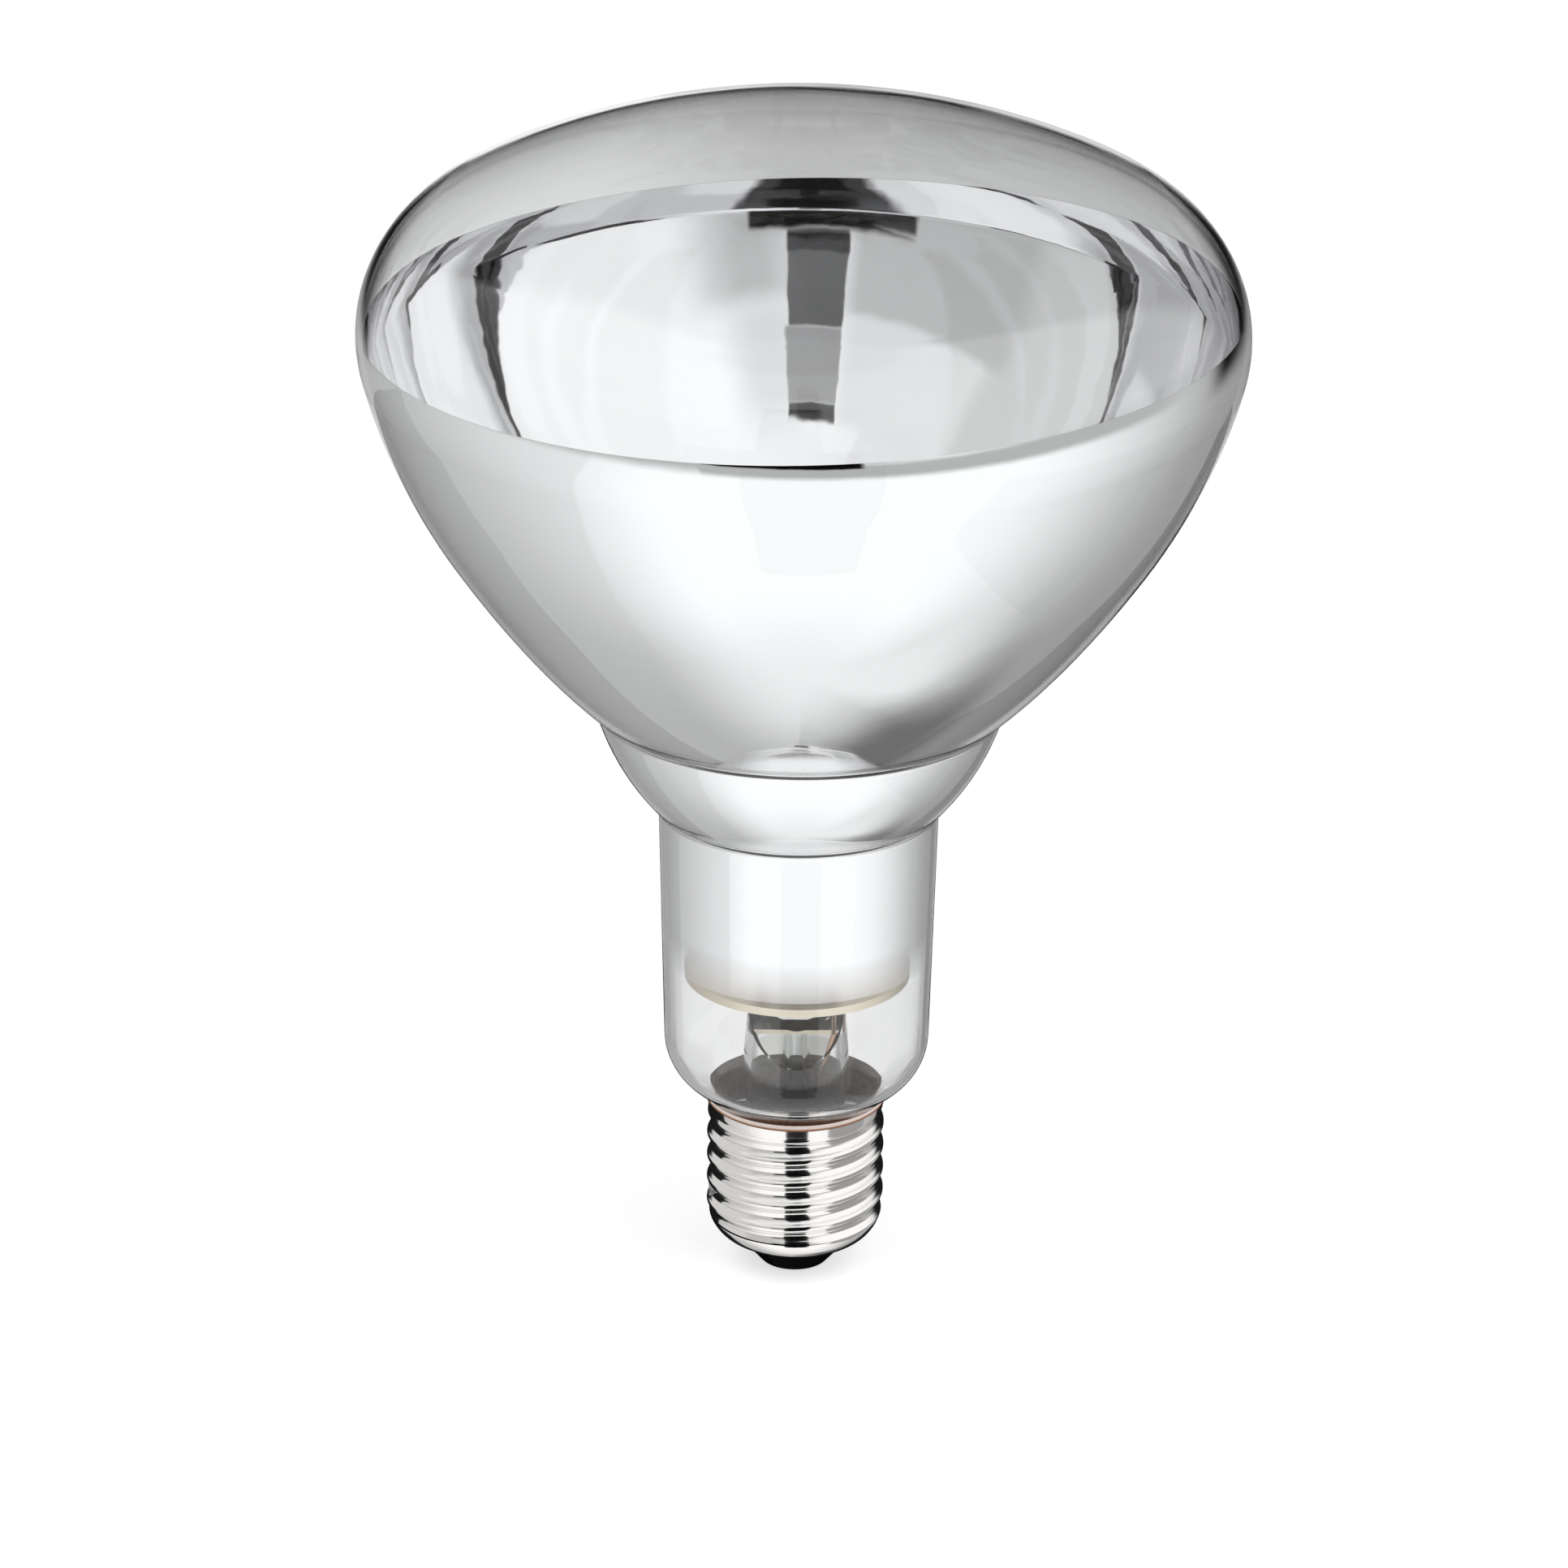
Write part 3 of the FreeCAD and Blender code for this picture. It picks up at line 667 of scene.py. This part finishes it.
class LAMP_OT_roll_thread(bpy.types.Operator):
    """Turn the screw shell and roll its helical thread"""

    bl_idname = "lamp.roll_thread"
    bl_label = "Roll Thread"

    def execute(self, context):
        thread = settings("thread")
        low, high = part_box("screw_shell")
        crest = thread_crest_radius()
        rim = Vector((crest + thread.rim_flare, 0, high[2]))
        wall_top = Vector((crest, 0, thread.collar_height))
        wall_foot = Vector((crest, 0, low[2] + thread.foot_rise))
        lip = Vector((crest - thread.foot_reach, 0, low[2]))
        collar = Vector((crest - thread.collar_sink, 0, high[2] - thread.collar_drop))
        corner = Vector((crest, 0, low[2]))
        stops = [rim, collar]
        stops += [wall_top.lerp(wall_foot, i / WALL_STRETCHES) for i in range(WALL_STRETCHES + 1)]
        side = [line_piece(start, end) for start, end in zip(stops, stops[1:])]
        side.append((wall_foot, wall_foot.lerp(corner, QUARTER_HANDLE),
                     lip.lerp(corner, QUARTER_HANDLE), lip))
        shell = outline_object("threaded_shell", [side], thread.steps)
        turn_round(shell, thread.around)
        for vertex in shell.data.vertices:
            sink_thread(vertex.co, thread)
        thicken(shell, thread.sheet)
        keep_edges_crisp(shell)
        finish_piece(shell, "screw_shell", metal_material("rolled_cap_metal", thread.tint, 0.1))
        return {"FINISHED"}


def thread_crest_radius():
    """Radius of the thread's crests, from the frame's own mount."""
    mounts = {mount["name"]: mount for mount in frame["record"]["mounts"]}
    return mounts["screw_thread"]["dims"]["r_mm"] * MM


def thread_sink(away, thread):
    """How deep the thread's section lies this far along from its crest: two arcs that meet smoothly."""
    both = thread.crest_round + thread.root_round
    half = thread.pitch / 2
    if away < half * thread.crest_round / both:
        return thread.crest_round - math.sqrt(thread.crest_round ** 2 - away ** 2)
    deepest = both - math.sqrt(both ** 2 - half ** 2)
    return deepest - thread.root_round + math.sqrt(thread.root_round ** 2 - (half - away) ** 2)


def sink_thread(place, thread):
    """Move a point of the plain shell in to the thread's surface."""
    rise = min(max((place.z - thread.low) / thread.fade, 0), 1)
    fall = min(max((thread.high - place.z) / thread.fade, 0), 1)
    share = min(rise, fall)
    share = share * share * (3 - 2 * share)
    swing = (math.atan2(place.y, place.x) - math.pi) / (2 * math.pi)
    turns = (place.z - thread.crest_height) / thread.pitch - swing
    sink = share * thread_sink(abs(turns - round(turns)) * thread.pitch, thread)
    radius = math.hypot(place.x, place.y)
    place.x *= 1 - sink / radius
    place.y *= 1 - sink / radius


# The glass's bend above the cap's rim is taken in tenths, which makes this many places
BEND_PLACES = 11


class LAMP_OT_pack_cement(bpy.types.Operator):
    """Turn the ring of cement that fills the collar and comes out at the rim"""

    bl_idname = "lamp.pack_cement"
    bl_label = "Pack Cement"

    def execute(self, context):
        glass = settings("bulb_glass")
        cement = settings("cement")
        thread = settings("thread")
        rim = top_of("screw_shell")
        outside = thread_crest_radius() + thread.rim_flare
        inside = outside - thread.sheet - cement.gap
        spigot = glass.spigot_radius + 2 * cement.gap
        drop = (glass.spigot_top_radius - glass.spigot_radius) / math.tan(glass.spigot_lean)
        bend = glass_pieces(glass, -cement.gap)[RIM_BEND]
        against_glass = interpolate_bezier(*bend, BEND_PLACES)[cement.climb:]
        corners = [
            (spigot, rim - drop),
            (spigot, rim - cement.depth), (cement.pinch_radius, rim - cement.depth),
            (cement.pinch_radius, cement.pinch_height - 1 * MM),
            (cement.pinch_radius + cement.bead, cement.pinch_height),
            (inside, rim - cement.gap),
            (outside - cement.gap, rim + cement.gap), (outside - cement.gap, rim + cement.bead),
        ]
        places = against_glass + [Vector((radius, 0, height)) for radius, height in corners]
        sides = [line_piece(start, end) for start, end in zip(places, places[1:] + places[:1])]
        ring = outline_object("packed_cement", [sides], cement.steps)
        turn_round(ring, thread.around)
        keep_edges_crisp(ring)
        finish_piece(ring, "basing_cement", cement_material())
        return {"FINISHED"}


class LAMP_OT_wind_filament(bpy.types.Operator):
    """Wind the filament's coil along its open ring"""

    bl_idname = "lamp.wind_filament"
    bl_label = "Wind Filament"

    def execute(self, context):
        coil = settings("filament")
        low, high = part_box("filament")
        coil_radius = (high[2] - low[2]) / 2 - coil.wire
        ring_radius = high[1] - (high[2] - low[2]) / 2
        height = (high[2] + low[2]) / 2
        sweep = 2 * math.pi - coil.gap
        turns = round(ring_radius * sweep / coil.pitch)
        deselect()
        bpy.ops.curve.primitive_nurbs_path_add(location=(0, 0, 0))
        wire = bpy.context.object
        wire.name = "wound_filament"
        wire.data.splines.clear()
        spline = wire.data.splines.new("POLY")
        steps = turns * coil.turn_points
        spline.points.add(steps)
        for i, point in enumerate(spline.points):
            along = -math.pi / 2 + coil.gap / 2 + sweep * i / steps
            turn = 2 * math.pi * i / coil.turn_points
            radius = ring_radius + coil_radius * math.cos(turn)
            point.co = (radius * math.cos(along), radius * math.sin(along),
                        height + coil_radius * math.sin(turn), 1)
        wire.data.bevel_depth = coil.wire
        wire.data.bevel_resolution = 1
        bpy.ops.object.convert(target="MESH")
        wire = bpy.context.object
        bpy.ops.object.shade_smooth()
        finish_piece(wire, "filament", metal_material("tungsten_wire", (0.3, 0.3, 0.31), 0.35))
        return {"FINISHED"}


class LAMP_OT_dress_inner_parts(bpy.types.Operator):
    """Give the stem, leads, disc and supports their materials"""

    bl_idname = "lamp.dress_inner_parts"
    bl_label = "Dress Inner Parts"

    def execute(self, context):
        stem_glass = clear_glass_material("stem_glass", (0.96, 0.97, 0.965, 1), 120, 0.2)
        for node in ("glass_stem", "exhaust_tube", "arbor_rod"):
            dress_node(node, stem_glass)
        dress_node("heat_deflector", metal_material("deflector_sheet", (0.86, 0.78, 0.64), 0.3))
        nickel = metal_material("nickel_wire", (0.66, 0.63, 0.58), 0.25)
        copper = metal_material("copper_wire", (0.72, 0.45, 0.33), 0.3)
        tungsten = bpy.data.materials["tungsten_wire"]
        for side in ("left", "right"):
            dress_node("inner_lead_" + side, nickel)
            dress_node("outer_lead_" + side, copper)
        for node in frame["nodes"]:
            if node.startswith("filament_support"):
                dress_node(node, tungsten)
        return {"FINISHED"}


class LAMP_OT_dress_cap(bpy.types.Operator):
    """Give the insulator, contact and solder their materials"""

    bl_idname = "lamp.dress_cap"
    bl_label = "Dress Cap"

    def execute(self, context):
        dress_node("cap_insulator", black_glass_material())
        dress_node("centre_contact", metal_material("contact_brass", (0.76, 0.66, 0.42), 0.3, 0.5))
        solder = metal_material("dull_solder", (0.6, 0.61, 0.62), 0.4, 0.6, 0.5, 300)
        dress_node("centre_solder", solder)
        dress_node("side_solder", solder)
        return {"FINISHED"}


def add_card(name, place, size, turn, glow):
    """A flat studio card that only bare metal and glass reflect: not seen directly or through glass."""
    deselect()
    bpy.ops.mesh.primitive_plane_add(size=1, location=place, rotation=turn)
    card = bpy.context.object
    card.name = name
    card.scale = (size[0], size[1], 1)
    material = bpy.data.materials.new(name)
    material.use_nodes = True
    shader = material.node_tree.nodes["Principled BSDF"]
    set_shader(shader, Base_Color=(0, 0, 0, 1), Specular_IOR_Level=0, Roughness=1,
               Emission_Color=(glow, glow, glow, 1), Emission_Strength=1)
    card.data.materials.append(material)
    card.visible_camera = False
    card.visible_shadow = False
    card.visible_diffuse = False
    card.visible_transmission = False


def window(tree, value, low, high, soft):
    """A mask that is 1 between two values, with edges this soft."""
    edges = []
    for start, end in ((low - soft, low + soft), (high + soft, high - soft)):
        edge = add_node(tree, "ShaderNodeMapRange", {"interpolation_type": "SMOOTHSTEP",
                                                     "From Min": start, "From Max": end}, {"Value": value})
        edges.append(edge.outputs["Result"])
    return do_sum(tree, "MULTIPLY", *edges)


# The studio's cards: name, place, size, turn in degrees, and glow
CARDS = (
    ("front_gap", (0.0145, -0.31, -0.07), (0.18, 0.56), (90, 0, 0), 0.004),
    ("back_gap", (-0.15, 0.25, -0.21), (0.72, 0.43), (90, 0, 0), 0.01),
    ("side_gap", (0.4, -0.1, -0.25), (0.5, 0.5), (90, 0, 90), 0.36),
)
FLOOR_SIZE = 12
FLOOR_TONE = 0.85
# The camera's picture width and its far limit, in millimetres and in metres
SENSOR_WIDTH = 36
FAR_LIMIT = 50

# The tent's panels, each laid over those before it: from and to a swing from the camera's side
# towards +X with its soft edge, from and to a rise above the floor with its soft edge, all in
# degrees, and the panel's brightness. Those under the horizon show in the bowl's outside and through
# its clear glass, those over it in the bowl's inside, and the last five are the slit for the camera.
TENT_WHITE = 1.1
TENT_PANELS = (
    (-260, -95, 55, -100, 2, 4, 0.5),
    (99, 260, 50, -100, 2, 4, 0.36),
    (90, 128, 9, -100, -64, 10, 0.9),
    (138, 172, 9, -74, -55, 5, 0.17),
    (-260, 260, 1, -100, -78, 12, 0.95),
    (-260, -166, 3, -60, -23, 1, 0.88),
    (166, 260, 3, -60, -23, 1, 0.88),
    (-260, -143, 5, -16, 78, 4, 0.01),
    (129, 260, 7, -16, 78, 4, 0.01),
    (-260, -171, 2.5, -22, -8, 1.5, 0.68),
    (171, 260, 2.5, -22, -8, 1.5, 0.68),
    (-178.8, -172, 1.2, -22, -8, 1.5, 0.94),
    (-110, 110, 10, -9, 3, 3, 0.5),
    (-142, -58, 3, 0, 47, 2, 0.69),
    (-60, -12, 5, 29, 47, 1.5, 0.84),
    (-66, -12, 5, 3, 29, 1.5, 0.57),
    (2, 28, 12, 3, 27, 4, 0.57),
    (2, 22, 8, 27, 47, 4, 0.82),
    (-260, 260, 1, 76, 100, 4, 0.35),
    (-30, 15, 0.8, -1, 13, 0.8, 0.003),
    (-12, 5, 0.4, 13, 31.5, 0.5, 0.1),
    (-12, 6, 0.4, 31.5, 45, 0.5, 0.34),
    (-12, 6, 0.4, 45, 47, 0.3, 0.02),
    (-12, 5, 0.4, 13.8, 17.2, 0.3, 0.01),
)


# The edge of the tent's left wing: its normal, how far the wing reaches past the middle, how soft its
# edge is, its brightness, the tent's brightness beside it, and how far from it the tent is white again
WING_NORMAL = (0.558, -0.745, -0.365)
WING_REACH = 0.045
WING_SOFT = 0.01
WING_WHITE = 0.9
BESIDE_WING = 1.0
WING_SHADE = 0.3


class LAMP_OT_set_stage(bpy.types.Operator):
    """Set up the camera, floor and lights"""

    bl_idname = "lamp.set_stage"
    bl_label = "Set Stage"

    def execute(self, context):
        stage = settings("stage")
        self.add_camera(context, stage)
        self.add_floor(stage)
        for name, place, size, turn, glow in CARDS:
            add_card(name, place, size, [math.radians(degrees) for degrees in turn], glow)
        self.light_world(context)
        context.scene.view_settings.view_transform = "Standard"
        context.scene.cycles.max_bounces = 14
        context.scene.cycles.glossy_bounces = 8
        context.scene.cycles.transmission_bounces = 14
        context.scene.cycles.transparent_max_bounces = 8
        return {"FINISHED"}

    def add_camera(self, context, stage):
        """The photograph's camera."""
        deselect()
        place = Vector(stage.camera_place)
        bpy.ops.object.camera_add(location=place)
        camera = context.object
        look = (Vector(stage.camera_target) - place).to_track_quat("-Z", "Y")
        camera.rotation_euler = look.to_euler()
        camera.rotation_euler.rotate_axis("Z", stage.roll)
        camera.data.sensor_width = SENSOR_WIDTH
        camera.data.lens = stage.lens
        camera.data.clip_end = FAR_LIMIT
        context.scene.camera = camera

    def add_floor(self, stage):
        """A plain pale floor, which the lamp doesn't mirror."""
        deselect()
        bpy.ops.mesh.primitive_plane_add(size=FLOOR_SIZE, location=(0, 0, 0))
        floor = bpy.context.object
        floor.name = "floor"
        material = bpy.data.materials.new("studio_floor")
        material.use_nodes = True
        set_shader(material.node_tree.nodes["Principled BSDF"], Roughness=1, Specular_IOR_Level=0,
                   Base_Color=(FLOOR_TONE, FLOOR_TONE, FLOOR_TONE, 1),
                   Emission_Color=(1, 1, 1, 1), Emission_Strength=stage.floor_white)
        floor.data.materials.append(material)
        floor.visible_glossy = False
        floor.visible_transmission = False

    def light_world(self, context):
        """A white tent round the lamp, with its left wing, its panels and the slit for the camera."""
        world = bpy.data.worlds.new("studio_tent")
        world.cycles.sampling_method = "NONE"
        context.scene.world = world
        world.use_nodes = True
        tree = world.node_tree
        place = tree.nodes.new("ShaderNodeTexCoord")
        parts = add_node(tree, "ShaderNodeSeparateXYZ", links={"Vector": place.outputs["Generated"]})
        front = do_sum(tree, "MULTIPLY", parts.outputs["Y"], -1)
        swing = do_sum(tree, "DEGREES", do_sum(tree, "ARCTAN2", parts.outputs["X"], front))
        rise = do_sum(tree, "DEGREES", do_sum(tree, "ARCSINE", parts.outputs["Z"]))
        glow = self.wing_glow(tree, place.outputs["Generated"])
        for swing_low, swing_high, swing_soft, rise_low, rise_high, rise_soft, brightness in TENT_PANELS:
            share = do_sum(tree, "MULTIPLY", window(tree, swing, swing_low, swing_high, swing_soft),
                           window(tree, rise, rise_low, rise_high, rise_soft))
            glow = do_sum(tree, "MULTIPLY_ADD", share, do_sum(tree, "SUBTRACT", brightness, glow), glow)
        tent = tree.nodes["Background"]
        tree.links.new(glow, tent.inputs["Strength"])
        tent.inputs["Color"].default_value = (1, 1, 1, 1)
        backdrop = add_node(tree, "ShaderNodeBackground", {"Color": (1, 1, 1, 1), "Strength": 1})
        path = tree.nodes.new("ShaderNodeLightPath")
        mixed = add_node(tree, "ShaderNodeMixShader", links={"Fac": path.outputs["Is Camera Ray"]})
        tree.links.new(tent.outputs[0], mixed.inputs[1])
        tree.links.new(backdrop.outputs[0], mixed.inputs[2])
        tree.links.new(mixed.outputs[0], tree.nodes["World Output"].inputs["Surface"])

    def wing_glow(self, tree, way):
        """The tent's brightness before its panels: the left wing, its edge and the white beside it."""
        across_wing = add_node(tree, "ShaderNodeVectorMath",
                               {"operation": "DOT_PRODUCT", 1: WING_NORMAL}, {0: way})
        away = across_wing.outputs["Value"]
        beside = add_node(tree, "ShaderNodeMapRange",
                          {"From Min": WING_REACH, "From Max": WING_REACH + WING_SHADE,
                           "To Min": BESIDE_WING, "To Max": TENT_WHITE}, {"Value": away})
        wing = add_node(tree, "ShaderNodeMapRange",
                        {"From Min": WING_REACH - WING_SOFT, "From Max": WING_REACH + WING_SOFT,
                         "To Min": WING_WHITE}, {"Value": away, "To Max": beside.outputs["Result"]})
        return wing.outputs["Result"]


class LAMP_PT_panel(bpy.types.Panel):
    """Lists the steps that dress the lamp"""

    bl_idname = "LAMP_PT_panel"
    bl_label = "Heat Lamp Bulb"
    bl_space_type = "VIEW_3D"
    bl_region_type = "UI"
    bl_category = "Lamp"

    def draw(self, context):
        for step in STEPS:
            self.layout.operator(step.bl_idname)


SETTINGS = {
    "bulb_glass": BulbGlassSettings,
    "coating": CoatingSettings,
    "cement": CementSettings,
    "thread": ThreadSettings,
    "filament": FilamentSettings,
    "stage": StageSettings,
}
STEPS = (
    LAMP_OT_blow_envelope,
    LAMP_OT_coat_mirror,
    LAMP_OT_roll_thread,
    LAMP_OT_pack_cement,
    LAMP_OT_wind_filament,
    LAMP_OT_dress_inner_parts,
    LAMP_OT_dress_cap,
    LAMP_OT_set_stage,
)


def register():
    """Make the settings, steps and panel known to Blender."""
    for group in SETTINGS.values():
        bpy.utils.register_class(group)
    for name, group in SETTINGS.items():
        setattr(bpy.types.Scene, name, bpy.props.PointerProperty(type=group))
    for step in STEPS:
        bpy.utils.register_class(step)
    bpy.utils.register_class(LAMP_PT_panel)


def unregister():
    """Take them out again."""
    bpy.utils.unregister_class(LAMP_PT_panel)
    for step in reversed(STEPS):
        bpy.utils.unregister_class(step)
    for name in SETTINGS:
        delattr(bpy.types.Scene, name)
    for group in SETTINGS.values():
        bpy.utils.unregister_class(group)


def main():
    """Build every piece and the stage."""
    register()
    build_waviness_group()
    build_specks_group()
    bpy.ops.lamp.blow_envelope()
    bpy.ops.lamp.coat_mirror()
    bpy.ops.lamp.roll_thread()
    bpy.ops.lamp.pack_cement()
    bpy.ops.lamp.wind_filament()
    bpy.ops.lamp.dress_inner_parts()
    bpy.ops.lamp.dress_cap()
    bpy.ops.lamp.set_stage()


if __name__ == "__main__":
    main()
